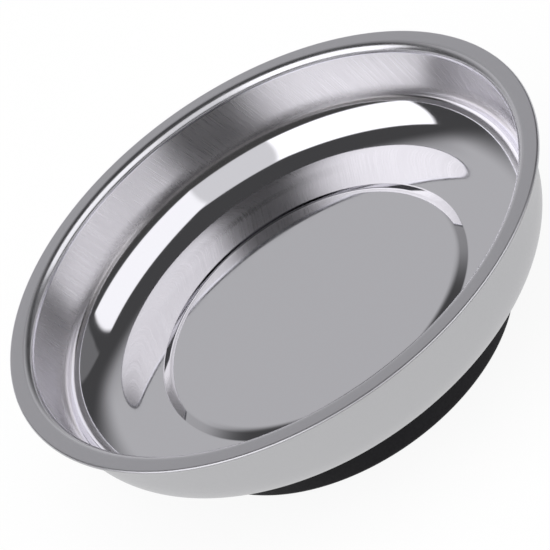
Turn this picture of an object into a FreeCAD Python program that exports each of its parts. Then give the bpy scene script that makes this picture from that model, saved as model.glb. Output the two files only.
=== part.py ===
import FreeCAD, Part

import math
import os

# Round magnetic parts tray.
#
# A pressed stainless dish holds small screws and nuts. A ferrite ring magnet in a rubber boot
# is clamped under the dish by one stud, so that the tray grips a steel bench and the dish
# grips what lies in it. All sizes are millimetres. The origin is the centre of the boot's
# resting face, and +Z points up out of the dish. Every piece is a body of revolution about Z,
# apart from the hexagon of the nut and the split in the lock washer.

# ---------------------------------------------------------------- driving dimensions

# Dish
RIM_DIAMETER = 108.0          # over the hemmed flange, a 4 1/4 inch tray
DISH_DEPTH = 18.8             # from the top of the flange to the top of the floor
SHEET = 0.4                   # stainless sheet
FLANGE_WIDTH = 4.4            # from the rim's edge in to the inside of the wall
WALL_DRAFT = 1.0              # degrees that the wall opens upwards
CORNER_RADIUS = 10.1          # inside radius between the wall and the floor
EASE_RADIUS = 20.0            # inside radius of the gentler bend that leads into the corner
EDGE_TILT = 8.2               # degrees that the floor rises between those two bends
EASE_TO_CORNER = 0.08         # straight stretch between the gentler bend and the corner
FLANGE_BEND_RADIUS = 1.8      # top side of the bend between the wall and the flange
HEM_TO_BEND = 0.4             # from the end of the folded edge to that bend
HEM_GAP = 0.1                 # air left inside the fold
SEAT_SLOPE_RUN = 2.15         # width of the slope round the raised centre of the floor
SEAT_EDGE_RADIUS = 4.5        # top side of the bend at the top of that slope
SEAT_FOOT_RADIUS = 0.4        # top side of the bend at its foot

# Ring magnet. Its outer diameter follows from the dish's floor, and comes to a stock 70 mm.
MAGNET_BORE = 32.0
MAGNET_THICKNESS = 7.5
MAGNET_CHAMFER = 0.5

# Rubber boot around the magnet
FLOOR_MARGIN = 3.01           # floor left outside the boot, up to the gentler bend
BOOT_WALL = 1.25
BOOT_SOLE = 1.3               # rubber under the magnet
BOOT_LIP = 1.15               # rubber over the magnet's top edge, clamped under the floor
BOOT_LIP_REACH = 2.7          # how far that lip reaches over the magnet
BOOT_SOLE_ROUND = 1.0         # outer edge that stands on the bench
BOOT_LIP_ROUND = 0.4          # outer edge under the dish

# Steel disc between the magnet and the dish
DISC_THICKNESS = 1.9

# Stud, M5, pressed into the disc
THREAD_DIAMETER = 5.0
STUD_HEAD_STEP = 1.5          # how far the head stands out past the thread, on the radius
STUD_HEAD_HEIGHT = 1.0
STUD_TIP_CHAMFER = 0.6
STUD_PAST_NUT = 0.8           # one turn of thread

# Clamp cup, a pressed steel plate that carries the magnet
CUP_SHEET = 1.0
CUP_HOLD = 3.6                # how far its flange reaches under the magnet, on the radius
CUP_WASHER_ROOM = 1.8         # from the washer out to where the cup's floor meets its wall
CUP_SLOPE_RUN = 2.6           # from there out to where the wall meets the flange
CUP_BEND_RADIUS = 1.2         # of the middle of the sheet
CUP_DISC_GAP = 0.35           # air between the cup and the disc, so that the stud pulls

# M5 washers and thin nut
WASHER_DIAMETER = 10.0
WASHER_THICKNESS = 1.0
LOCK_DIAMETER = 9.2
LOCK_THICKNESS = 1.2
LOCK_SPLIT = 0.7              # width of the slit in the lock washer
LOCK_SPLIT_LEAN = 20.0        # degrees that the slit leans from upright
NUT_FLATS = 8.0
NUT_HEIGHT = 2.7
NUT_BORE_CHAMFER = 0.4
NUT_CORNER_ANGLE = 30.0       # degrees of the chamfer on the nut's corners

# Clearances
MAGNET_FIT = 0.05             # boot round the magnet, on the radius
CUP_FIT = 0.4                 # cup flange in the sole's opening, on the radius
DISC_FIT = 0.4                # disc inside the raised centre, on the radius
LIP_FIT = 0.5                 # boot lip round the foot of the raised centre, on the radius
STUD_FIT = 0.02               # stud in the disc, on the radius
THREAD_FIT = 0.03             # nut on the stud, on the radius
WASHER_FIT = 0.15             # washers and cup on the stud, on the radius

# ---------------------------------------------------------------- places that follow

# Heights, from the resting face up
magnet_bottom = BOOT_SOLE
magnet_top = magnet_bottom + MAGNET_THICKNESS
boot_top = magnet_top + BOOT_LIP
floor_under = boot_top
floor_middle = floor_under + SHEET / 2
disc_bottom = magnet_top
disc_top = disc_bottom + DISC_THICKNESS
seat_middle = disc_top + SHEET / 2
flange_top = floor_under + SHEET + DISH_DEPTH
flange_middle = flange_top - SHEET / 2

# Dish, along the middle of its sheet, from the rim in. A bend reaches along the straight runs
# on both sides of it by its radius times the tangent of half its turn.
half_sheet = SHEET / 2
draft = math.radians(WALL_DRAFT)
edge_tilt = math.radians(EDGE_TILT)
rim_radius = RIM_DIAMETER / 2
wall_top_radius = rim_radius - FLANGE_WIDTH
wall_foot_radius = wall_top_radius - DISH_DEPTH * math.tan(draft)
corner_reach = (CORNER_RADIUS + half_sheet) * math.tan((math.pi / 2 - draft - edge_tilt) / 2)
ease_reach = (EASE_RADIUS + half_sheet) * math.tan(edge_tilt / 2)
edge_length = corner_reach + ease_reach + EASE_TO_CORNER
corner_middle = floor_middle + edge_length * math.sin(edge_tilt)
corner_radius = wall_foot_radius + half_sheet + (corner_middle - floor_middle) * math.tan(draft)
ease_radius = corner_radius - edge_length * math.cos(edge_tilt)

# What sits under the floor, from the outside in
boot_radius = ease_radius - FLOOR_MARGIN
boot_bore = boot_radius - BOOT_WALL
magnet_radius = boot_bore - MAGNET_FIT
lip_radius = boot_bore - BOOT_LIP_REACH
seat_foot_radius = lip_radius - LIP_FIT - SEAT_FOOT_RADIUS / 2
seat_edge_radius = seat_foot_radius - SEAT_SLOPE_RUN
seat_slope = math.atan2(seat_middle - floor_middle, SEAT_SLOPE_RUN)
disc_radius = seat_edge_radius - SEAT_EDGE_RADIUS * math.tan(seat_slope / 2) - DISC_FIT

# Clamp cup and the stack inside it, from the cup's floor down
stud_radius = THREAD_DIAMETER / 2
washer_hole = stud_radius + WASHER_FIT
cup_floor_radius = WASHER_DIAMETER / 2 + CUP_WASHER_ROOM
cup_mouth_radius = cup_floor_radius + CUP_SLOPE_RUN
cup_flange_radius = MAGNET_BORE / 2 + CUP_HOLD
sole_opening = cup_flange_radius + CUP_FIT
cup_flange_middle = magnet_bottom - CUP_SHEET / 2
cup_floor_middle = disc_bottom - CUP_DISC_GAP - CUP_SHEET / 2
washer_top = cup_floor_middle - CUP_SHEET / 2
lock_top = washer_top - WASHER_THICKNESS
nut_top = lock_top - LOCK_THICKNESS
nut_bottom = nut_top - NUT_HEIGHT
stud_tip = nut_bottom - STUD_PAST_NUT


# ---------------------------------------------------------------- helpers

def vector(radius, height):
    """A point of a profile in the XZ plane."""
    return FreeCAD.Vector(radius, 0, height)


def outline(points):
    """Straight edges round a closed profile of (radius, height) points."""
    corners = [vector(*point) for point in points]
    return Part.Face(Part.makePolygon(corners + corners[:1]))


def turned(face):
    """The solid that a profile makes when it is turned about Z."""
    return face.revolve(FreeCAD.Vector(0, 0, 0), FreeCAD.Vector(0, 0, 1), 360)


def direction(start, end):
    """The unit step from one (radius, height) point to another."""
    run = end[0] - start[0]
    rise = end[1] - start[1]
    length = math.hypot(run, rise)
    return run / length, rise / length


def turn_angle(before, after):
    """The signed turn between two unit steps, positive to the left."""
    cross = before[0] * after[1] - before[1] * after[0]
    dot = before[0] * after[0] + before[1] * after[1]
    return math.atan2(cross, dot)


def side_of_sheet(points, bends, shift):
    """Corners and bend radii of the sheet's face that lies shift to the left of its middle."""
    steps = [direction(start, end) for start, end in zip(points, points[1:])]
    corners = []
    radii = []
    for index, (radius, height) in enumerate(points):
        before = steps[max(index - 1, 0)]
        after = steps[min(index, len(steps) - 1)]
        turn = turn_angle(before, after)
        reach = shift / math.cos(turn / 2)
        heading = math.atan2(before[1], before[0]) + turn / 2
        corners.append((radius - reach * math.sin(heading), height + reach * math.cos(heading)))
        if 0 < index < len(points) - 1:
            radii.append(bends[index - 1] - math.copysign(shift, turn * shift))
    return corners, radii


def rounded_path(corners, radii):
    """Straight runs joined by arcs that are tangent to both."""
    edges = []
    start = corners[0]
    for before, corner, after, radius in zip(corners, corners[1:], corners[2:], radii):
        arriving = direction(before, corner)
        leaving = direction(corner, after)
        turn = turn_angle(arriving, leaving)
        reach = radius * math.tan(abs(turn) / 2)
        first = (corner[0] - reach * arriving[0], corner[1] - reach * arriving[1])
        last = (corner[0] + reach * leaving[0], corner[1] + reach * leaving[1])
        bulge = radius / math.cos(turn / 2) - radius
        inward = direction((0, 0), (leaving[0] - arriving[0], leaving[1] - arriving[1]))
        middle = (corner[0] + bulge * inward[0], corner[1] + bulge * inward[1])
        edges += straight(start, first)
        edges.append(Part.Arc(vector(*first), vector(*middle), vector(*last)).toShape())
        start = last
    return edges + straight(start, corners[-1])


def straight(start, end):
    """One line, or nothing where two arcs meet."""
    if math.dist(start, end) < 1e-6:
        return []
    return [Part.makeLine(vector(*start), vector(*end))]


def bent_sheet(points, bends, thickness):
    """The section of a sheet whose middle follows the points, with a bend radius at each."""
    upper = rounded_path(*side_of_sheet(points, bends, thickness / 2))
    lower = rounded_path(*side_of_sheet(points, bends, -thickness / 2))
    caps = [
        Part.makeLine(upper[0].Vertexes[0].Point, lower[0].Vertexes[0].Point),
        Part.makeLine(upper[-1].Vertexes[-1].Point, lower[-1].Vertexes[-1].Point),
    ]
    loop = Part.Wire(Part.__sortEdges__(upper + lower + caps))
    return Part.Face(loop)


def flat_ring(bore_radius, outer_radius, bottom, top):
    """A plain washer shape."""
    return turned(outline([
        (bore_radius, bottom),
        (outer_radius, bottom),
        (outer_radius, top),
        (bore_radius, top),
    ]))


# ---------------------------------------------------------------- the pieces

def make_dish():
    """Pressed dish: raised centre, flat floor, eased corner, wall, flange and hem."""
    hem_bend = (SHEET + HEM_GAP) / 2
    hem_middle = flange_middle - 2 * hem_bend
    middle_line = [
        (0, seat_middle),
        (seat_edge_radius, seat_middle),
        (seat_foot_radius, floor_middle),
        (ease_radius, floor_middle),
        (corner_radius, corner_middle),
        (wall_top_radius + half_sheet, flange_middle),
        (rim_radius - half_sheet, flange_middle),
        (rim_radius - half_sheet, hem_middle),
        (wall_top_radius + FLANGE_BEND_RADIUS + HEM_TO_BEND, hem_middle),
    ]
    bends = [
        SEAT_EDGE_RADIUS - half_sheet,
        SEAT_FOOT_RADIUS + half_sheet,
        EASE_RADIUS + half_sheet,
        CORNER_RADIUS + half_sheet,
        FLANGE_BEND_RADIUS - half_sheet,
        hem_bend,
        hem_bend,
    ]
    return turned(bent_sheet(middle_line, bends, SHEET))


def make_ring_magnet():
    """Ferrite ring with its four edges broken."""
    bore = MAGNET_BORE / 2
    cut = MAGNET_CHAMFER
    return turned(outline([
        (bore + cut, magnet_bottom),
        (magnet_radius - cut, magnet_bottom),
        (magnet_radius, magnet_bottom + cut),
        (magnet_radius, magnet_top - cut),
        (magnet_radius - cut, magnet_top),
        (bore + cut, magnet_top),
        (bore, magnet_top - cut),
        (bore, magnet_bottom + cut),
    ]))


def make_rubber_boot():
    """Rubber channel that wraps the sole, side and top edge of the magnet."""
    section = outline([
        (sole_opening, 0),
        (boot_radius, 0),
        (boot_radius, boot_top),
        (lip_radius, boot_top),
        (lip_radius, magnet_top),
        (boot_bore, magnet_top),
        (boot_bore, magnet_bottom),
        (sole_opening, magnet_bottom),
    ])
    boot = turned(section)
    boot = boot.makeFillet(BOOT_SOLE_ROUND, circles_at(boot, boot_radius, 0))
    return boot.makeFillet(BOOT_LIP_ROUND, circles_at(boot, boot_radius, boot_top))


def circles_at(shape, radius, height):
    """The circular edges of a shape that have this radius and lie at this height."""
    found = []
    for edge in shape.Edges:
        curve = edge.Curve
        if not isinstance(curve, Part.Circle):
            continue
        if abs(curve.Radius - radius) < 1e-4 and abs(curve.Center.z - height) < 1e-4:
            found.append(edge)
    return found


def make_pole_disc():
    """Steel disc in the raised centre, counterbored from above for the stud's head."""
    hole = stud_radius + STUD_FIT
    counterbore = hole + STUD_HEAD_STEP
    head_seat = disc_top - STUD_HEAD_HEIGHT
    return turned(outline([
        (hole, disc_bottom),
        (disc_radius, disc_bottom),
        (disc_radius, disc_top),
        (counterbore, disc_top),
        (counterbore, head_seat),
        (hole, head_seat),
    ]))


def make_center_stud():
    """Stud whose head is flush in the disc and whose thread hangs down to the nut."""
    head = stud_radius + STUD_HEAD_STEP
    head_seat = disc_top - STUD_HEAD_HEIGHT
    return turned(outline([
        (0, stud_tip),
        (stud_radius - STUD_TIP_CHAMFER, stud_tip),
        (stud_radius, stud_tip + STUD_TIP_CHAMFER),
        (stud_radius, head_seat),
        (head, head_seat),
        (head, disc_top),
        (0, disc_top),
    ]))


def make_clamp_cup():
    """Pressed cup: its flange lifts the magnet, its floor takes the washers and nut."""
    middle_line = [
        (washer_hole, cup_floor_middle),
        (cup_floor_radius, cup_floor_middle),
        (cup_mouth_radius, cup_flange_middle),
        (cup_flange_radius, cup_flange_middle),
    ]
    bends = [CUP_BEND_RADIUS, CUP_BEND_RADIUS]
    return turned(bent_sheet(middle_line, bends, CUP_SHEET))


def make_flat_washer():
    """Plain M5 washer against the cup's floor."""
    return flat_ring(washer_hole, WASHER_DIAMETER / 2, lock_top, washer_top)


def make_lock_washer():
    """Split spring washer, pressed flat by the nut."""
    ring = flat_ring(washer_hole, LOCK_DIAMETER / 2, nut_top, lock_top)
    slit = Part.makeBox(LOCK_DIAMETER, LOCK_SPLIT, 4 * LOCK_THICKNESS)
    slit.translate(FreeCAD.Vector(0, -LOCK_SPLIT / 2, -2 * LOCK_THICKNESS))
    slit.rotate(FreeCAD.Vector(0, 0, 0), FreeCAD.Vector(1, 0, 0), LOCK_SPLIT_LEAN)
    slit.translate(FreeCAD.Vector(0, 0, (nut_top + lock_top) / 2))
    return ring.cut(slit)


def make_hex_nut():
    """M5 nut: hexagon, corners chamfered at both ends, chamfered bore."""
    corner = NUT_FLATS / 2 / math.cos(math.pi / 6)
    angles = [math.pi / 3 * side for side in range(6)]
    hexagon = [
        FreeCAD.Vector(corner * math.cos(angle), corner * math.sin(angle), nut_bottom)
        for angle in angles
    ]
    prism = Part.Face(Part.makePolygon(hexagon + hexagon[:1])).extrude(
        FreeCAD.Vector(0, 0, NUT_HEIGHT))
    bore = stud_radius + THREAD_FIT
    flat = NUT_FLATS / 2
    drop = (corner - flat) * math.tan(math.radians(NUT_CORNER_ANGLE))
    turned_blank = turned(outline([
        (bore + NUT_BORE_CHAMFER, nut_bottom),
        (flat, nut_bottom),
        (corner, nut_bottom + drop),
        (corner, nut_top - drop),
        (flat, nut_top),
        (bore + NUT_BORE_CHAMFER, nut_top),
        (bore, nut_top - NUT_BORE_CHAMFER),
        (bore, nut_bottom + NUT_BORE_CHAMFER),
    ]))
    return prism.common(turned_blank)


# ---------------------------------------------------------------- export

PIECES = {
    "dish": make_dish,
    "rubber_boot": make_rubber_boot,
    "ring_magnet": make_ring_magnet,
    "pole_disc": make_pole_disc,
    "center_stud": make_center_stud,
    "clamp_cup": make_clamp_cup,
    "flat_washer": make_flat_washer,
    "lock_washer": make_lock_washer,
    "hex_nut": make_hex_nut,
}

os.makedirs("parts", exist_ok=True)
for name, make in PIECES.items():
    solid = make()
    if len(solid.Solids) != 1 or not solid.isValid():
        raise SystemExit(f"{name} is not one valid solid")
    solid.Solids[0].exportStep(f"parts/{name}.step")
    box = solid.optimalBoundingBox()
    print(f"{name}: {box.XLength:.2f} x {box.YLength:.2f} x {box.ZLength:.2f} mm,"
          f" z {box.ZMin:.2f} to {box.ZMax:.2f}, {solid.Volume / 1000:.3f} cm3")
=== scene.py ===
# %% [markdown]
# # A round magnetic parts tray
#
# The tray is a pressed stainless dish with a ring magnet under it. The magnet sits in a black
# rubber boot, and a pressed cup, two washers and a nut on a stud clamp it under the dish.
# This lesson dresses the engineering model: it gives every piece its real surface, and sets up
# the studio and the camera. The first cell loads that model, which nothing here moves.

# %% Load the engineering model
import math

import bmesh
import bpy
from mathutils import Matrix, Vector


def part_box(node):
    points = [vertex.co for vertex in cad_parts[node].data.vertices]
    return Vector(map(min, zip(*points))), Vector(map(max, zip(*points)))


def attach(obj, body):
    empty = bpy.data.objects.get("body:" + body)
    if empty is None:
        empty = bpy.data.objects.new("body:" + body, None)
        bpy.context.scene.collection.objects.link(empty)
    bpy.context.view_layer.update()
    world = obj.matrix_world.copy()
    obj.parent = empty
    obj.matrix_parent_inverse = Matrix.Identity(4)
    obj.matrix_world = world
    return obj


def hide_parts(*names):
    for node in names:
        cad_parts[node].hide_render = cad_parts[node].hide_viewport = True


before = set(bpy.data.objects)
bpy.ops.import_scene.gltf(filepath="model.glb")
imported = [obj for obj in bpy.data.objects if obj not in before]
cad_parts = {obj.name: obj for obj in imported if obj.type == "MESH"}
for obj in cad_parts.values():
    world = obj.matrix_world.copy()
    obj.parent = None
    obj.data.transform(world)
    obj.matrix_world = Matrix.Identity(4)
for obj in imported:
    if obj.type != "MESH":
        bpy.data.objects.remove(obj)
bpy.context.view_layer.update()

print("pieces:", ", ".join(sorted(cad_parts)))

# %% [markdown]
# ## Sizes
#
# Drawings of sheet metal are in millimetres, and Blender works in metres, so one constant
# turns one into the other. The places of the main faces are read from the loaded model. Only
# what a box can't say, such as a bend's radius, is written down again here.

# %% Sizes of the dish
MM = 0.001

SHEET = 0.4 * MM
FLANGE_WIDTH = 4.4 * MM
WALL_DRAFT = math.radians(1.0)
CORNER_RADIUS = 10.1 * MM
EASE_LENGTH = 4.7 * MM       # of sheet that leads from the flat floor into the corner
FLANGE_BEND_RADIUS = 1.8 * MM
HEM_TO_BEND = 0.4 * MM
HEM_GAP = 0.1 * MM
SEAT_SLOPE_RUN = 2.15 * MM
SEAT_EDGE_RADIUS = 4.5 * MM
SEAT_FOOT_RADIUS = 1.0 * MM
SEAT_FOOT_SETBACK = 0.2 * MM

dish_low, dish_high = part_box("dish")
boot_low, boot_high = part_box("rubber_boot")
disc_low, disc_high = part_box("pole_disc")

rim_radius = dish_high.x
flange_top = dish_high.z
floor_top = dish_low.z + SHEET
seat_top = disc_high.z + SHEET
print(f"rim radius {rim_radius / MM:.2f} mm, depth {(flange_top - floor_top) / MM:.2f} mm")

# %% [markdown]
# ## The camera
#
# A product picture of a shallow dish is taken with a long lens from about a third of the way
# up, so that both the inside and the outer wall show and the rim stays a clean ellipse. This
# one is also rolled, which stands the tray on a diagonal. The camera is placed first, because
# how fine a detail has to be depends on how near the camera is.

# %% Camera
CAMERA_DISTANCE = 518 * MM
CAMERA_ELEVATION = math.radians(34.53)
CAMERA_ROLL = math.radians(-35.11)
CAMERA_LENS = 187.6
AIM_OFFSET = Vector((-2.25, -2.4, -6.0)) * MM

rim_centre = Vector((0, 0, flange_top))
towards_camera = Vector((0, -math.cos(CAMERA_ELEVATION), math.sin(CAMERA_ELEVATION)))
camera_place = rim_centre + CAMERA_DISTANCE * towards_camera
look = rim_centre + AIM_OFFSET - camera_place

camera_data = bpy.data.cameras.new("camera")
camera_data.lens = CAMERA_LENS
camera = bpy.data.objects.new("camera", camera_data)
bpy.context.scene.collection.objects.link(camera)
turn = look.to_track_quat("-Z", "Y").to_matrix() @ Matrix.Rotation(CAMERA_ROLL, 3, "Z")
camera.matrix_world = Matrix.Translation(camera_place) @ turn.to_4x4()
bpy.context.scene.camera = camera
print(f"camera {CAMERA_DISTANCE / MM:.0f} mm away, lens {CAMERA_LENS} mm")

# %% [markdown]
# ## Colours and nodes
#
# Colours are written as the hex values that a paint or print shop would use. Blender mixes
# light in linear numbers, so one function turns the one into the other. A second function
# adds a shader node: it takes what goes into the node's inputs and how the node is set.

# %% Colour and node helpers
def colour(hex_value):
    """The linear colour, with alpha, of an sRGB hex value such as C8C8CC."""
    channels = [int(hex_value[index:index + 2], 16) / 255 for index in (0, 2, 4)]
    linear = [c / 12.92 if c <= 0.04045 else ((c + 0.055) / 1.055) ** 2.4 for c in channels]
    return (*linear, 1.0)


def add(tree, kind, inputs=None, **settings):
    """Adds a node. inputs gives each named or numbered input a value or another node's output."""
    node = tree.nodes.new(kind)
    for setting, value in settings.items():
        setattr(node, setting, value)
    for name, value in (inputs or {}).items():
        if isinstance(value, bpy.types.NodeSocket):
            tree.links.new(value, node.inputs[name])
        else:
            node.inputs[name].default_value = value
    return node


def new_material(name):
    """An empty node material, with its output node."""
    material = bpy.data.materials.new(name)
    material.use_nodes = True
    material.node_tree.nodes.clear()
    output = material.node_tree.nodes.new("ShaderNodeOutputMaterial")
    return material, material.node_tree, output


# %% [markdown]
# ## Stainless steel, polished
#
# The inside of the dish is one sheet of stainless with more than one finish. The punch leaves
# the floor and the corner as bright as a mirror, with only a faint unevenness, which is what
# makes the edges of a reflection waver. A broad noise pattern varies the roughness a little,
# and a fine one tips the surface by a hair. The bend into the flange is made the same way, but
# it is rougher, so it shows a soft bright line instead of a picture.

# %% Material: polished inside of the dish
POLISHED_STEEL = colour("EFEEF4")
POLISHED_ROUGHNESS = (0.03, 0.07)
FLANGE_BEND_ROUGHNESS = (0.17, 0.26)
MOTTLE_SIZE = 6 * MM
RIPPLE_SIZE = 1.6 * MM

# Most of a noise texture lies in this range, so this range is stretched over a roughness.
NOISE_LOW = 0.3
NOISE_HIGH = 0.7


def make_polished_stainless(name, smoothest, roughest):
    """Bright steel that varies between two roughnesses, with a faint waver."""
    material, tree, output = new_material(name)
    place = add(tree, "ShaderNodeTexCoord").outputs["Object"]
    mottle = add(tree, "ShaderNodeTexNoise", {
        "Vector": place, "Scale": 1 / MOTTLE_SIZE, "Detail": 4.0, "Roughness": 0.55,
    })
    spread = add(tree, "ShaderNodeMapRange", {
        "Value": mottle.outputs["Fac"], "From Min": NOISE_LOW, "From Max": NOISE_HIGH,
        "To Min": smoothest, "To Max": roughest,
    })
    ripple = add(tree, "ShaderNodeTexNoise", {
        "Vector": place, "Scale": 1 / RIPPLE_SIZE, "Detail": 2.0,
    })
    bump = add(tree, "ShaderNodeBump", {
        "Strength": 0.12, "Distance": 0.006 * MM, "Height": ripple.outputs["Fac"],
    })
    shader = add(tree, "ShaderNodeBsdfPrincipled", {
        "Base Color": POLISHED_STEEL,
        "Metallic": 1.0,
        "Roughness": spread.outputs[0],
        "Normal": bump.outputs[0],
    })
    tree.links.new(shader.outputs[0], output.inputs["Surface"])
    return material


polished_stainless = make_polished_stainless("stainless_polished", *POLISHED_ROUGHNESS)
bend_stainless = make_polished_stainless("stainless_flange_bend", *FLANGE_BEND_ROUGHNESS)
print("made", polished_stainless.name, bend_stainless.name)

# %% [markdown]
# ## Stainless steel, brushed
#
# The wall was brushed while the dish turned, so its finest scratches run round it. They are
# too fine to draw. Such a surface smears a reflection up and down more than from side to
# side, which the shader calls anisotropy: its tangent, here the U direction of the UV map,
# points up the wall, the way that the smear runs. The press left longer, nearly upright draw
# lines as well. They are drawn: a noise pattern on the wall as if it were unrolled flat,
# stretched upwards and leaning a little. Real ones are finer. These are as coarse as they
# need to be to show.

# %% Material: brushed wall
BRUSHED_STEEL = colour("E8E6E8")
MIRROR_ROUGHNESS = 0.05
WALL_ROUGHNESS = (0.24, 0.38)
WALL_BUMP = 0.22
DRAW_LINE_SPACING = 0.14 * MM
DRAW_LINE_LENGTH = 14.0 * MM
DRAW_LINE_LEAN = math.radians(19)
POLISH_END = 5.6 * MM        # above the floor, where the mirror finish starts to fade
BRUSH_START = 8.8 * MM       # above the floor, where the brushing is full


def draw_lines(tree, spacing, length, lean):
    """Noise drawn out up the wall and leaning. The UV map unrolls the wall flat."""
    unrolled = add(tree, "ShaderNodeUVMap", uv_map="up_the_wall")
    leaning = add(tree, "ShaderNodeVectorRotate", {
        "Vector": unrolled.outputs[0], "Angle": lean,
    }, rotation_type="Z_AXIS")
    stretched = add(tree, "ShaderNodeMapping", {
        "Vector": leaning.outputs[0], "Scale": (1 / length, 1 / spacing, 1.0),
    })
    return add(tree, "ShaderNodeTexNoise", {
        "Vector": stretched.outputs[0],
        "Scale": 1.0,
        "Detail": 3.0,
        "Roughness": 0.6,
    }).outputs["Fac"]


def make_brushed_stainless():
    """Brushed wall, which fades into the mirror finish towards the floor."""
    material, tree, output = new_material("stainless_brushed_wall")
    place = add(tree, "ShaderNodeTexCoord").outputs["Object"]
    height = add(tree, "ShaderNodeSeparateXYZ", {0: place}).outputs["Z"]
    brushed = add(tree, "ShaderNodeMapRange", {
        "Value": height,
        "From Min": floor_top + POLISH_END,
        "From Max": floor_top + BRUSH_START,
    }, interpolation_type="SMOOTHSTEP").outputs[0]
    lines = draw_lines(tree, DRAW_LINE_SPACING, DRAW_LINE_LENGTH, DRAW_LINE_LEAN)
    wall_roughness = add(tree, "ShaderNodeMapRange", {
        "Value": lines, "From Min": NOISE_LOW, "From Max": NOISE_HIGH,
        "To Min": WALL_ROUGHNESS[0], "To Max": WALL_ROUGHNESS[1],
    })
    roughness = add(tree, "ShaderNodeMix", {
        "Factor": brushed, "A": MIRROR_ROUGHNESS, "B": wall_roughness.outputs[0],
    }, data_type="FLOAT")
    strength = add(tree, "ShaderNodeMath", {0: brushed, 1: WALL_BUMP}, operation="MULTIPLY")
    bump = add(tree, "ShaderNodeBump", {
        "Strength": strength.outputs[0], "Distance": 0.02 * MM, "Height": lines,
    })
    upright = add(tree, "ShaderNodeTangent", direction_type="UV_MAP", uv_map="up_the_wall")
    shader = add(tree, "ShaderNodeBsdfPrincipled", {
        "Base Color": BRUSHED_STEEL,
        "Metallic": 1.0,
        "Roughness": roughness.outputs[0],
        "Anisotropic": 0.35,
        "Tangent": upright.outputs[0],
        "Normal": bump.outputs[0],
    })
    tree.links.new(shader.outputs[0], output.inputs["Surface"])
    return material


brushed_stainless = make_brushed_stainless()
print("made", brushed_stainless.name)

# %% [markdown]
# ## Stainless steel, satin
#
# The flange, the rolled edge and the outside of the dish are satin: an even, fine-grained
# grey that blurs what it reflects. A fine noise gives the grain. It varies the roughness a
# little and tips the surface by a hair. The outside is a darker grey than the flange, which
# is painted shade: it stands in for the shadowed floor round the base that the steel reflects.

# %% Material: satin stainless
SATIN_STEEL = colour("DEDDE3")
# The outside's grey is darker than the flange's: painted shade for the shadowed floor it
# reflects.
OUTSIDE_STEEL_PAINTED_SHADE = colour("B8B8BA")
FLANGE_ROUGHNESS = 0.32
OUTSIDE_ROUGHNESS = 0.36
SATIN_GRAIN = 0.35 * MM
SATIN_VARIATION = 0.12       # of the roughness, up or down


def make_satin_stainless(name, steel, roughness):
    """An even satin finish of the given colour and roughness."""
    material, tree, output = new_material(name)
    place = add(tree, "ShaderNodeTexCoord").outputs["Object"]
    fine = add(tree, "ShaderNodeTexNoise", {
        "Vector": place, "Scale": 1 / SATIN_GRAIN, "Detail": 2.0, "Roughness": 0.6,
    }).outputs["Fac"]
    spread = add(tree, "ShaderNodeMapRange", {
        "Value": fine, "From Min": NOISE_LOW, "From Max": NOISE_HIGH,
        "To Min": roughness * (1 - SATIN_VARIATION), "To Max": roughness * (1 + SATIN_VARIATION),
    })
    bump = add(tree, "ShaderNodeBump", {
        "Strength": 0.1, "Distance": 0.01 * MM, "Height": fine,
    })
    shader = add(tree, "ShaderNodeBsdfPrincipled", {
        "Base Color": steel,
        "Metallic": 1.0,
        "Roughness": spread.outputs[0],
        "Normal": bump.outputs[0],
    })
    tree.links.new(shader.outputs[0], output.inputs["Surface"])
    return material


flange_stainless = make_satin_stainless("stainless_satin_flange", SATIN_STEEL, FLANGE_ROUGHNESS)
outside_stainless_painted_shade = make_satin_stainless("stainless_satin_outside_painted_shade", OUTSIDE_STEEL_PAINTED_SHADE, OUTSIDE_ROUGHNESS)
print("made", flange_stainless.name, outside_stainless_painted_shade.name)

# %% [markdown]
# ## Bending a sheet
#
# Every round piece starts as a section: a line of straight runs and bends, walked from point
# to point as a press would form it. A run is an extruded vertex, and a bend is a vertex spun
# about the bend's centre, so each arc is tangent to the runs on both sides.

# %% Helpers that draw a section and turn it
MERGE_DISTANCE = 0.0005 * MM


class Section:
    """A line in the XZ plane, drawn by running straight and by bending."""

    def __init__(self, start, heading):
        self.bm = bmesh.new()
        self.end = self.bm.verts.new((start[0], 0, start[1]))
        self.heading = heading

    def run(self, length):
        """Goes straight on."""
        made = bmesh.ops.extrude_vert_indiv(self.bm, verts=[self.end])
        self.end = made["verts"][0]
        step = Vector((math.cos(self.heading), 0, math.sin(self.heading))) * length
        bmesh.ops.translate(self.bm, verts=[self.end], vec=step)

    def bend(self, angle, radius, steps):
        """Turns left by the angle, or right if it is negative, on an arc of the radius."""
        side = math.copysign(radius, angle)
        inward = Vector((-math.sin(self.heading), 0, math.cos(self.heading)))
        made = bmesh.ops.spin(self.bm, geom=[self.end], cent=self.end.co + inward * side,
                              axis=(0, -1, 0), angle=angle, steps=steps)
        self.end = [v for v in made["geom_last"] if isinstance(v, bmesh.types.BMVert)][0]
        self.heading += angle

    def tighten(self, length, radius, steps):
        """Leads into a bend of the radius: straight at first, then turning ever faster."""
        step = length / steps
        for index in range(steps):
            turn = (index + 0.5) / steps * step / radius
            self.bend(turn, step / turn, steps=1)


def turn_about_axis(bm, steps):
    """Spins a section a full turn about Z, and closes the seam and the pole."""
    bmesh.ops.spin(bm, geom=bm.verts[:] + bm.edges[:], cent=(0, 0, 0), axis=(0, 0, 1),
                   angle=math.tau, steps=steps, use_merge=True)
    bmesh.ops.remove_doubles(bm, verts=bm.verts[:], dist=MERGE_DISTANCE)
    bmesh.ops.recalc_face_normals(bm, faces=bm.faces[:])


def finished(bm, name, materials, stands_for):
    """Makes the object of a finished mesh, smooth, riding on the tray."""
    mesh = bpy.data.meshes.new(name)
    bm.to_mesh(mesh)
    bm.free()
    mesh.shade_smooth()
    for material in materials:
        mesh.materials.append(material)
    piece = bpy.data.objects.new(name, mesh)
    bpy.context.scene.collection.objects.link(piece)
    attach(piece, "root")
    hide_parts(stands_for)
    print(f"{name}: {len(mesh.vertices)} vertices, {len(mesh.polygons)} faces")
    return piece


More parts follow.
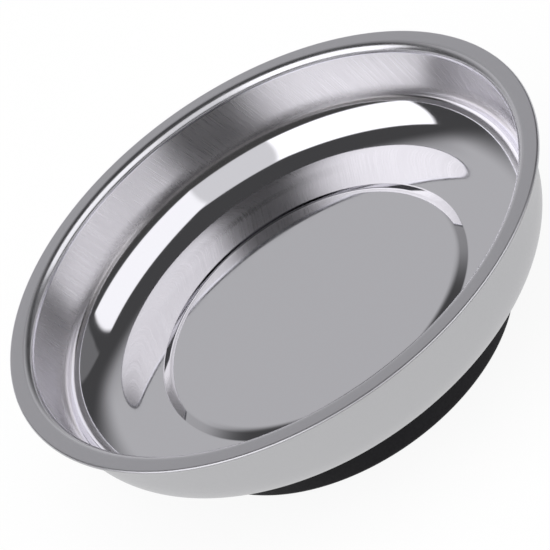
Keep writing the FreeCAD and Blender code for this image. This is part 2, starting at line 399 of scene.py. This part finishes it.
# %% [markdown]
# ## The dish
#
# The dish is pressed from one 0.4 mm sheet. Its section runs from the centre of the raised
# seat down a short slope to the floor, round the deep corner, up the wall, over the flange
# and round the closed hem. The section is spun, and a Solidify modifier then gives the sheet
# its thickness downwards, so that the outside gets its own satin finish.

# %% The section of the dish
DISH_STEPS = 360

# What sits under the floor sets where the slope round the raised seat starts.
BOOT_WALL = 1.25 * MM
BOOT_LIP_REACH = 2.7 * MM
LIP_FIT = 0.5 * MM
lip_radius = boot_high.x - BOOT_WALL - BOOT_LIP_REACH
seat_foot_radius = lip_radius - LIP_FIT - SEAT_FOOT_SETBACK


def reach(turn, radius):
    """How far a bend reaches along the straight run on each side of it."""
    return radius * math.tan(turn / 2)


slope_drop = seat_top - floor_top
slope_turn = math.atan2(slope_drop, SEAT_SLOPE_RUN)
slope_length = math.hypot(slope_drop, SEAT_SLOPE_RUN)
edge_reach = reach(slope_turn, SEAT_EDGE_RADIUS)
foot_reach = reach(slope_turn, SEAT_FOOT_RADIUS)
wall_turn = math.radians(90) - WALL_DRAFT
hem_radius = SHEET + HEM_GAP / 2
hem_end_radius = rim_radius - FLANGE_WIDTH + FLANGE_BEND_RADIUS + HEM_TO_BEND


def draw_corner(line):
    """The sheet from the end of the flat floor up to the wall."""
    line.tighten(EASE_LENGTH, CORNER_RADIUS, steps=32)
    line.bend(wall_turn - EASE_LENGTH / (2 * CORNER_RADIUS), CORNER_RADIUS, steps=36)


# A trial corner shows how wide it comes out, and so where the flat floor has to end.
trial = Section(start=(0, floor_top), heading=0)
draw_corner(trial)
wall_there = rim_radius - FLANGE_WIDTH - (flange_top - trial.end.co.z) * math.tan(WALL_DRAFT)
floor_end = wall_there - trial.end.co.x
trial.bm.free()
print(f"the floor is flat to a radius of {floor_end / MM:.2f} mm")

# %% Draw the section
section = Section(start=(0, seat_top), heading=0)
section.run(seat_foot_radius - SEAT_SLOPE_RUN - edge_reach)
section.bend(-slope_turn, SEAT_EDGE_RADIUS, steps=14)
section.run(slope_length - edge_reach - foot_reach)
section.bend(slope_turn, SEAT_FOOT_RADIUS, steps=8)
section.run(floor_end - section.end.co.x)
draw_corner(section)
wall_rise = flange_top - section.end.co.z
section.run(wall_rise / math.sin(wall_turn) - reach(wall_turn, FLANGE_BEND_RADIUS))
section.bend(-wall_turn, FLANGE_BEND_RADIUS, steps=12)
section.run(rim_radius - hem_radius - section.end.co.x)
section.bend(-math.pi, hem_radius, steps=12)
section.run(section.end.co.x - hem_end_radius)
print(f"section: {len(section.bm.verts)} points, hem end at {section.end.co.z / MM:.3f} mm")

# %% Spin it, and give the sheet its thickness
POLISHED, BRUSHED, BEND, FLANGE, OUTSIDE = range(5)
SATIN_FROM = 0.75            # of the bend's radius out from the wall, where the satin starts
HEM_SIDE_FROM = 0.5          # of the hem's radius below the top, where the hem's side starts

bm = section.bm
turn_about_axis(bm, DISH_STEPS)
centre_face = min(bm.faces, key=lambda face: face.calc_center_median().xy.length)
if centre_face.normal.z < 0:
    bmesh.ops.reverse_faces(bm, faces=bm.faces[:])

bend_bottom = flange_top - FLANGE_BEND_RADIUS
hem_side = flange_top - HEM_SIDE_FROM * hem_radius
flange_start = rim_radius - FLANGE_WIDTH + SATIN_FROM * FLANGE_BEND_RADIUS


def finish_of(point):
    """Which finish the upper face of the sheet has at a point."""
    if point.z < hem_side and point.xy.length > flange_start:
        return OUTSIDE
    if point.xy.length > flange_start:
        return FLANGE
    if point.z > bend_bottom:
        return BEND
    return BRUSHED if point.z > floor_top + POLISH_END else POLISHED


up_the_wall = bm.loops.layers.uv.new("up_the_wall")
for face in bm.faces:
    middle = face.calc_center_median()
    face.material_index = finish_of(middle)
    face_angle = math.atan2(middle.y, middle.x)
    for loop in face.loops:
        point = loop.vert.co
        angle = math.atan2(point.y, point.x) if point.xy.length > SHEET else face_angle
        angle += math.tau * round((face_angle - angle) / math.tau)
        loop[up_the_wall].uv = (point.z, -angle * rim_radius)

dish_finishes = [polished_stainless, brushed_stainless, bend_stainless, flange_stainless,
                 outside_stainless_painted_shade]
dish = finished(bm, "pressed_dish", dish_finishes, "dish")
sheet = dish.modifiers.new("sheet", "SOLIDIFY")
sheet.thickness = SHEET
sheet.offset = -1
sheet.use_even_offset = True
sheet.material_offset = OUTSIDE
sheet.material_offset_rim = 1
flats = dish.modifiers.new("flats", "WEIGHTED_NORMAL")
flats.keep_sharp = True

# %% [markdown]
# ## The rubber boot
#
# The boot is moulded black rubber: a soft sheen, almost no colour, and a fine matt skin from
# the mould. It is a channel round the magnet, with a sole and a lip. First comes its material.
# Then its section is drawn as a closed outline of a few points, which a bevel rounds, and it
# is turned about the axis like the dish.

# %% Material: moulded rubber
RUBBER_DARK = colour("0A090D")
RUBBER_LIGHT = colour("121116")
RUBBER_ROUGHNESS = (0.52, 0.68)
RUBBER_SKIN = 0.4 * MM
RUBBER_CLOUD = 9 * MM


def make_rubber():
    """Black moulded rubber: matt, with a soft sheen at its edges."""
    material, tree, output = new_material("rubber_moulded_black")
    place = add(tree, "ShaderNodeTexCoord").outputs["Object"]
    skin = add(tree, "ShaderNodeTexNoise", {
        "Vector": place, "Scale": 1 / RUBBER_SKIN, "Detail": 3.0, "Roughness": 0.6,
    }).outputs["Fac"]
    cloud = add(tree, "ShaderNodeTexNoise", {
        "Vector": place, "Scale": 1 / RUBBER_CLOUD, "Detail": 3.0,
    }).outputs["Fac"]
    shade = add(tree, "ShaderNodeMix", {
        "Factor": cloud, "A": RUBBER_DARK, "B": RUBBER_LIGHT,
    }, data_type="RGBA")
    spread = add(tree, "ShaderNodeMapRange", {
        "Value": skin, "From Min": NOISE_LOW, "From Max": NOISE_HIGH,
        "To Min": RUBBER_ROUGHNESS[0], "To Max": RUBBER_ROUGHNESS[1],
    })
    bump = add(tree, "ShaderNodeBump", {
        "Strength": 0.3, "Distance": 0.02 * MM, "Height": skin,
    })
    shader = add(tree, "ShaderNodeBsdfPrincipled", {
        "Base Color": shade.outputs["Result"],
        "Roughness": spread.outputs[0],
        "IOR": 1.5,
        "Specular IOR Level": 0.2,
        "Normal": bump.outputs[0],
    })
    tree.links.new(shader.outputs[0], output.inputs["Surface"])
    return material


rubber = make_rubber()
print("made", rubber.name)

# %% Helpers for a solid ring: a closed outline with rounded corners
def outline(corners):
    """A closed section through (radius, height) corners, and its points in that order."""
    bm = bmesh.new()
    points = [bm.verts.new((radius, 0, height)) for radius, height in corners]
    for start, end in zip(points, points[1:] + points[:1]):
        bm.edges.new((start, end))
    return bm, points


def round_off(bm, points, radius, segments):
    """Rounds right-angled corners of an outline to the radius."""
    bmesh.ops.bevel(bm, geom=points, offset=radius, segments=segments, profile=0.5,
                    affect="VERTICES", material=-1)


# %% The boot
BOOT_SOLE_ROUND = 1.0 * MM
BOOT_LIP_ROUND = 0.4 * MM
RUBBER_EDGE = 0.15 * MM
RING_STEPS = 192
CUP_FIT = 0.4 * MM

magnet_low, magnet_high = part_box("ring_magnet")
cup_low, cup_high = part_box("clamp_cup")
boot_bore = boot_high.x - BOOT_WALL
sole_opening = cup_high.x + CUP_FIT

bm, points = outline([
    (boot_high.x, boot_low.z),
    (boot_high.x, boot_high.z),
    (lip_radius, boot_high.z),
    (lip_radius, magnet_high.z),
    (boot_bore, magnet_high.z),
    (boot_bore, magnet_low.z),
    (sole_opening, magnet_low.z),
    (sole_opening, boot_low.z),
])
round_off(bm, points[2:4] + points[6:], RUBBER_EDGE, segments=2)
round_off(bm, points[:1], BOOT_SOLE_ROUND, segments=8)
round_off(bm, points[1:2], BOOT_LIP_ROUND, segments=4)
turn_about_axis(bm, RING_STEPS)
finished(bm, "moulded_boot", [rubber], "rubber_boot")

# %% [markdown]
# ## The magnet and the pole disc
#
# The ring magnet is hard ferrite, a ceramic: pressed, fired and ground, so it is a dull dark
# grey with a fine grain and broken edges. The pole disc that sits on it is punched from mild
# steel plate and left oiled, which looks blotchy and a little brown.

# %% Materials: ferrite and mild steel
PATCH_LOW = 0.35
PATCH_HIGH = 0.65


def make_grained(name, dark, light, grain, blotch, finish):
    """A grained surface in two shades. finish is its (metallic, smoothest, roughest, bump)."""
    metallic, smoothest, roughest, bump_strength = finish
    material, tree, output = new_material(name)
    place = add(tree, "ShaderNodeTexCoord").outputs["Object"]
    fine = add(tree, "ShaderNodeTexNoise", {
        "Vector": place, "Scale": 1 / grain, "Detail": 4.0, "Roughness": 0.65,
    }).outputs["Fac"]
    broad = add(tree, "ShaderNodeTexNoise", {
        "Vector": place, "Scale": 1 / blotch, "Detail": 3.0,
    }).outputs["Fac"]
    patches = add(tree, "ShaderNodeMapRange", {
        "Value": broad, "From Min": PATCH_LOW, "From Max": PATCH_HIGH,
    })
    shade = add(tree, "ShaderNodeMix", {
        "Factor": patches.outputs[0], "A": colour(dark), "B": colour(light),
    }, data_type="RGBA")
    spread = add(tree, "ShaderNodeMapRange", {
        "Value": fine, "From Min": NOISE_LOW, "From Max": NOISE_HIGH,
        "To Min": smoothest, "To Max": roughest,
    })
    bump = add(tree, "ShaderNodeBump", {
        "Strength": bump_strength, "Distance": 0.02 * MM, "Height": fine,
    })
    shader = add(tree, "ShaderNodeBsdfPrincipled", {
        "Base Color": shade.outputs["Result"],
        "Metallic": metallic,
        "Roughness": spread.outputs[0],
        "Normal": bump.outputs[0],
    })
    tree.links.new(shader.outputs[0], output.inputs["Surface"])
    return material


ferrite = make_grained("ferrite_ground_ceramic", "2A2A2D", "38383C", 0.25 * MM, 6 * MM,
                       finish=(0.0, 0.45, 0.65, 0.35))
mild_steel = make_grained("mild_steel_punched_oiled", "8A8782", "A5A4A1", 0.4 * MM, 5 * MM,
                          finish=(1.0, 0.30, 0.50, 0.15))
print("made", ferrite.name, mild_steel.name)

# %% The magnet and the disc
MAGNET_BORE_RADIUS = 16.0 * MM
MAGNET_EDGE = 0.5 * MM
PUNCHED_EDGE = 0.15 * MM
STUD_FIT = 0.02 * MM

bm, points = outline([
    (MAGNET_BORE_RADIUS, magnet_low.z),
    (magnet_high.x, magnet_low.z),
    (magnet_high.x, magnet_high.z),
    (MAGNET_BORE_RADIUS, magnet_high.z),
])
round_off(bm, points, MAGNET_EDGE, segments=2)
turn_about_axis(bm, RING_STEPS)
finished(bm, "ferrite_ring", [ferrite], "ring_magnet")

stud_low, stud_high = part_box("center_stud")
THREAD_RADIUS = 2.5 * MM
STUD_HEAD_HEIGHT = 1.0 * MM
head_seat = stud_high.z - STUD_HEAD_HEIGHT
disc_hole = THREAD_RADIUS + STUD_FIT
counterbore = stud_high.x + STUD_FIT

bm, points = outline([
    (disc_high.x, disc_low.z),
    (disc_high.x, disc_high.z),
    (counterbore, disc_high.z),
    (counterbore, head_seat),
    (disc_hole, head_seat),
    (disc_hole, disc_low.z),
])
round_off(bm, points[:2], PUNCHED_EDGE, segments=2)
turn_about_axis(bm, RING_STEPS)
finished(bm, "punched_pole_disc", [mild_steel], "pole_disc")

# %% [markdown]
# ## The clamp: cup, washers, nut and stud
#
# Under the magnet a pressed cup carries it, and a flat washer, a split lock washer and a nut
# on an M5 stud pull the cup up. All are plated with bright zinc, which is a cool, slightly
# cloudy silver. The cup is a bent sheet again. The stud's thread is a ridge of V section wound
# round a core: a spin that also climbs, one pitch to a turn. The nut and the split washer keep
# their engineering shapes, which are right as they are, and only get the zinc.

# %% Material: bright zinc plate
zinc = make_grained("zinc_bright_plated_steel", "BFC3C9", "D3D5D8", 0.3 * MM, 3 * MM,
                    finish=(1.0, 0.20, 0.34, 0.08))
for name in ("lock_washer", "hex_nut"):
    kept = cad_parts[name]
    kept.data.materials.clear()
    kept.data.materials.append(zinc)
print("made", zinc.name)

# %% The cup and the flat washer
CUP_SHEET = 1.0 * MM
CUP_BEND_RADIUS = 1.2 * MM
CUP_WASHER_ROOM = 1.8 * MM
CUP_SLOPE_RUN = 2.6 * MM
WASHER_HOLE = 2.65 * MM
PRESSED_EDGE = 0.12 * MM
SMALL_RING_STEPS = 96

washer_low, washer_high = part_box("flat_washer")
cup_floor_middle = cup_high.z - CUP_SHEET / 2
cup_flange_middle = cup_low.z + CUP_SHEET / 2
cup_floor_radius = washer_high.x + CUP_WASHER_ROOM
cup_drop = cup_floor_middle - cup_flange_middle
cup_turn = math.atan2(cup_drop, CUP_SLOPE_RUN)
cup_reach = reach(cup_turn, CUP_BEND_RADIUS)

cup_line = Section(start=(WASHER_HOLE, cup_floor_middle), heading=0)
cup_line.run(cup_floor_radius - WASHER_HOLE - cup_reach)
cup_line.bend(-cup_turn, CUP_BEND_RADIUS, steps=10)
cup_line.run(math.hypot(cup_drop, CUP_SLOPE_RUN) - 2 * cup_reach)
cup_line.bend(cup_turn, CUP_BEND_RADIUS, steps=10)
cup_line.run(cup_high.x - cup_line.end.co.x)
turn_about_axis(cup_line.bm, RING_STEPS)
cup = finished(cup_line.bm, "pressed_cup", [zinc], "clamp_cup")
cup_sheet = cup.modifiers.new("sheet", "SOLIDIFY")
cup_sheet.thickness = CUP_SHEET
cup_sheet.offset = 0
cup_sheet.use_even_offset = True
cup_edges = cup.modifiers.new("edges", "BEVEL")
cup_edges.width = PRESSED_EDGE
cup_edges.segments = 2
cup_edges.angle_limit = math.radians(50)

bm, points = outline([
    (WASHER_HOLE, washer_low.z),
    (washer_high.x, washer_low.z),
    (washer_high.x, washer_high.z),
    (WASHER_HOLE, washer_high.z),
])
round_off(bm, points, PRESSED_EDGE, segments=2)
turn_about_axis(bm, SMALL_RING_STEPS)
finished(bm, "punched_flat_washer", [zinc], "flat_washer")

# %% The stud and its thread
THREAD_PITCH = 0.8 * MM
THREAD_DEPTH = 0.45 * MM
RIDGE_HALF_WIDTH = 0.42 * THREAD_PITCH
RIDGE_SINK = 0.05 * MM
TIP_CHAMFER = 0.6 * MM
THREAD_TURNS = 4
TURN_STEPS = 48

core_radius = THREAD_RADIUS - THREAD_DEPTH
bm = bmesh.new()
points = [bm.verts.new((radius, 0, height)) for radius, height in [
    (0, stud_low.z),
    (THREAD_RADIUS - TIP_CHAMFER, stud_low.z),
    (core_radius, stud_low.z + TIP_CHAMFER - THREAD_DEPTH),
    (core_radius, head_seat),
    (stud_high.x, head_seat),
    (stud_high.x, stud_high.z),
    (0, stud_high.z),
]]
for start, end in zip(points, points[1:]):
    bm.edges.new((start, end))
turn_about_axis(bm, SMALL_RING_STEPS)

# The ridge's root is sunk a little into the core, so that no gap shows between them.
thread_start = stud_low.z + TIP_CHAMFER
ridge = [bm.verts.new((radius, 0, thread_start + height)) for radius, height in [
    (core_radius - RIDGE_SINK, -RIDGE_HALF_WIDTH),
    (THREAD_RADIUS, 0),
    (core_radius - RIDGE_SINK, RIDGE_HALF_WIDTH),
]]
tooth = bm.faces.new(ridge)
climb = Vector((0, 0, THREAD_PITCH / TURN_STEPS))
bmesh.ops.spin(bm, geom=[tooth] + tooth.edges[:] + tooth.verts[:], cent=(0, 0, 0),
               axis=(0, 0, 1), dvec=climb, angle=math.tau * THREAD_TURNS,
               steps=TURN_STEPS * THREAD_TURNS)
bmesh.ops.recalc_face_normals(bm, faces=bm.faces[:])
finished(bm, "threaded_stud", [zinc], "center_stud")

# %% [markdown]
# ## The studio
#
# Polished steel shows its surroundings, so the studio matters as much as the steel. Two big
# softboxes stand left and right of the camera, with a greyer screen between them, a grey wall
# behind the tray, a darker one at its side, a pale sweep round the foot of the room and a
# dark ceiling. Each panel is a four-cornered patch of the sky: the edge between two corners
# is a plane through the tray, and a point of the sky is inside if it is on the inner side of
# all four planes.
#
# The wall of the dish sees the room through a second reflection, where a real one shows a
# dark gap between the softboxes. This small sky can't give that and the pale screen in the
# corner at once. So for light that has already met steel twice, which the glossy depth
# counts, the back wall and the screen are darker and a soft dark gap lies between the
# softboxes. It is a device of this studio and not of the steel.

# %% World: softboxes, screen and grey wall
DARK_STUDIO = 0.059
LEFT_SOFTBOX_LEVEL = 1.32
RIGHT_SOFTBOX_LEVEL = 1.06
SCREEN_LEVEL = 0.69
CAMERA_LEVEL = 0.05
BACK_WALL_LEVEL = 0.465
BACK_WALL_AGAIN = 0.14
SIDE_WALL_LEVEL = 0.16
SWEEP_LEVEL = 0.62
EDGE_SOFTNESS = 0.022
MET_STEEL_TWICE = 1.5        # light with a glossy depth above this has met it at least twice

# Each band is the (lowest, highest, softness) of a direction's X, Y or Z, which lies between
# -1 and 1, so that a 2 or -2 leaves an end open.
BACK_WALL_HEIGHT = (-2.0, 0.75, 0.13)
BACK_WALL_DEPTH = (0.55, 2.0, 0.12)
BACK_WALL_WIDTH = (-0.55, 0.45, 0.25)
GAP_WIDTH = (-0.42, 0.10, 0.22)
GAP_DEPTH = (-2.0, -0.25, 0.10)
SWEEP_HEIGHT = (-2.0, 0.10, 0.03)

# (azimuth, elevation) in degrees, anticlockwise as seen from the tray
LEFT_SOFTBOX = [(-179, 8), (-114.5, 21), (-134, 69), (153, 37.5)]
RIGHT_SOFTBOX = [(-76, 19.5), (-7, 16.5), (21, 48), (-71, 65)]
SCREEN = [(-116, 20.5), (-75, 19.5), (-62, 66), (-142, 69)]
SIDE_WALL = [(8, 27), (-12, -6), (30, -15), (24, 38)]


def sky_point(azimuth, elevation):
    """The unit vector towards a place in the sky."""
    a, e = math.radians(azimuth), math.radians(elevation)
    return Vector((math.cos(e) * math.cos(a), math.cos(e) * math.sin(a), math.sin(e)))


def panel_mask(tree, towards, corners):
    """1 inside the four corners, 0 outside, with a soft edge."""
    points = [sky_point(*corner) for corner in corners]
    mask = None
    for start, end in zip(points, points[1:] + points[:1]):
        plane = start.cross(end).normalized()
        side = add(tree, "ShaderNodeVectorMath", {0: towards, 1: plane}, operation="DOT_PRODUCT")
        inside = add(tree, "ShaderNodeMapRange", {
            "Value": side.outputs["Value"],
            "From Min": -EDGE_SOFTNESS, "From Max": EDGE_SOFTNESS,
        }, interpolation_type="SMOOTHSTEP").outputs[0]
        if mask is None:
            mask = inside
        else:
            mask = add(tree, "ShaderNodeMath", {0: mask, 1: inside},
                       operation="MULTIPLY").outputs[0]
    return mask


def band(tree, value, low, high, soft):
    """1 while the value is between low and high, with soft ends."""
    rising = add(tree, "ShaderNodeMapRange", {
        "Value": value, "From Min": low - soft, "From Max": low + soft,
    }, interpolation_type="SMOOTHSTEP").outputs[0]
    falling = add(tree, "ShaderNodeMapRange", {
        "Value": value, "From Min": high - soft, "From Max": high + soft,
        "To Min": 1.0, "To Max": 0.0,
    }, interpolation_type="SMOOTHSTEP").outputs[0]
    return add(tree, "ShaderNodeMath", {0: rising, 1: falling}, operation="MULTIPLY").outputs[0]


def over(tree, mask, level, below):
    """Lays a panel of the level over what is already there."""
    return add(tree, "ShaderNodeMix", {"Factor": mask, "A": below, "B": level},
               data_type="FLOAT").outputs[0]


world = bpy.data.worlds.new("studio")
bpy.context.scene.world = world
world.use_nodes = True
sky = world.node_tree
sky.nodes.clear()
towards = add(sky, "ShaderNodeTexCoord").outputs["Generated"]
split = add(sky, "ShaderNodeSeparateXYZ", {0: towards})
back_wall = add(sky, "ShaderNodeMath", {
    0: band(sky, split.outputs["Z"], *BACK_WALL_HEIGHT),
    1: band(sky, split.outputs["Y"], *BACK_WALL_DEPTH),
}, operation="MULTIPLY").outputs[0]
back_wall = add(sky, "ShaderNodeMath", {
    0: back_wall, 1: band(sky, split.outputs["X"], *BACK_WALL_WIDTH),
}, operation="MULTIPLY").outputs[0]
twice = add(sky, "ShaderNodeMath", {
    0: add(sky, "ShaderNodeLightPath").outputs["Glossy Depth"], 1: MET_STEEL_TWICE,
}, operation="GREATER_THAN").outputs[0]
back_level = over(sky, twice, BACK_WALL_AGAIN, BACK_WALL_LEVEL)
level = over(sky, back_wall, back_level, DARK_STUDIO)
level = over(sky, panel_mask(sky, towards, SIDE_WALL), SIDE_WALL_LEVEL, level)
screen_level = over(sky, twice, CAMERA_LEVEL, SCREEN_LEVEL)
level = over(sky, panel_mask(sky, towards, SCREEN), screen_level, level)
level = over(sky, panel_mask(sky, towards, LEFT_SOFTBOX), LEFT_SOFTBOX_LEVEL, level)
level = over(sky, panel_mask(sky, towards, RIGHT_SOFTBOX), RIGHT_SOFTBOX_LEVEL, level)
gap = add(sky, "ShaderNodeMath", {
    0: band(sky, split.outputs["X"], *GAP_WIDTH),
    1: band(sky, split.outputs["Y"], *GAP_DEPTH),
}, operation="MULTIPLY").outputs[0]
gap = add(sky, "ShaderNodeMath", {0: gap, 1: twice}, operation="MULTIPLY").outputs[0]
level = over(sky, gap, CAMERA_LEVEL, level)
low_sweep = band(sky, split.outputs["Z"], *SWEEP_HEIGHT)
level = over(sky, low_sweep, SWEEP_LEVEL, level)
light = add(sky, "ShaderNodeBackground", {"Color": (1, 1, 1, 1), "Strength": level})
world_output = add(sky, "ShaderNodeOutputWorld")
sky.links.new(light.outputs[0], world_output.inputs["Surface"])
print("world nodes:", len(sky.nodes))

# %% [markdown]
# ## The floor and the fill light
#
# The floor is a broad white table. Its material mixes a matt white with a plain white glow
# for the camera and for what steel reflects, so that it reads white in both and still holds a
# soft shadow. One overhead lamp lifts the matt surfaces to a plain level. It doesn't show in
# polished steel.

# %% Floor and overhead lamp
FLOOR_RADIUS = 6.0
FLOOR_DROP = 0.05 * MM
GLOW_SHARE = 0.92
LAMP_SIZE = 1.2
LAMP_HEIGHT = 1.2
LAMP_POWER = 8.0


def make_floor_material():
    """White table top that still shows a soft shadow."""
    material, tree, output = new_material("white_table")
    path = add(tree, "ShaderNodeLightPath")
    seen = path.outputs["Is Camera Ray"]
    for kind in ("Is Glossy Ray", "Is Transmission Ray"):
        seen = add(tree, "ShaderNodeMath", {0: seen, 1: path.outputs[kind]},
                   operation="ADD", use_clamp=True).outputs[0]
    share = add(tree, "ShaderNodeMath", {0: seen, 1: GLOW_SHARE}, operation="MULTIPLY")
    matt = add(tree, "ShaderNodeBsdfDiffuse", {"Color": colour("FFFFFF")})
    glow = add(tree, "ShaderNodeEmission", {"Color": colour("FFFFFF"), "Strength": 1.0})
    mixed = add(tree, "ShaderNodeMixShader", {0: share.outputs[0], 1: matt.outputs[0],
                                              2: glow.outputs[0]})
    tree.links.new(mixed.outputs[0], output.inputs["Surface"])
    return material


floor_bm = bmesh.new()
bmesh.ops.create_circle(floor_bm, cap_ends=True, segments=96, radius=FLOOR_RADIUS,
                        matrix=Matrix.Translation((0, 0, -FLOOR_DROP)))
floor_mesh = bpy.data.meshes.new("table")
floor_bm.to_mesh(floor_mesh)
floor_bm.free()
floor_mesh.materials.append(make_floor_material())
floor = bpy.data.objects.new("table", floor_mesh)
bpy.context.scene.collection.objects.link(floor)

lamp_data = bpy.data.lights.new("overhead_fill", "AREA")
lamp_data.shape = "DISK"
lamp_data.size = LAMP_SIZE
lamp_data.energy = LAMP_POWER
lamp = bpy.data.objects.new("overhead_fill", lamp_data)
lamp.location = (0, 0, LAMP_HEIGHT)
lamp.visible_glossy = False
bpy.context.scene.collection.objects.link(lamp)

bpy.context.scene.view_settings.view_transform = "Standard"
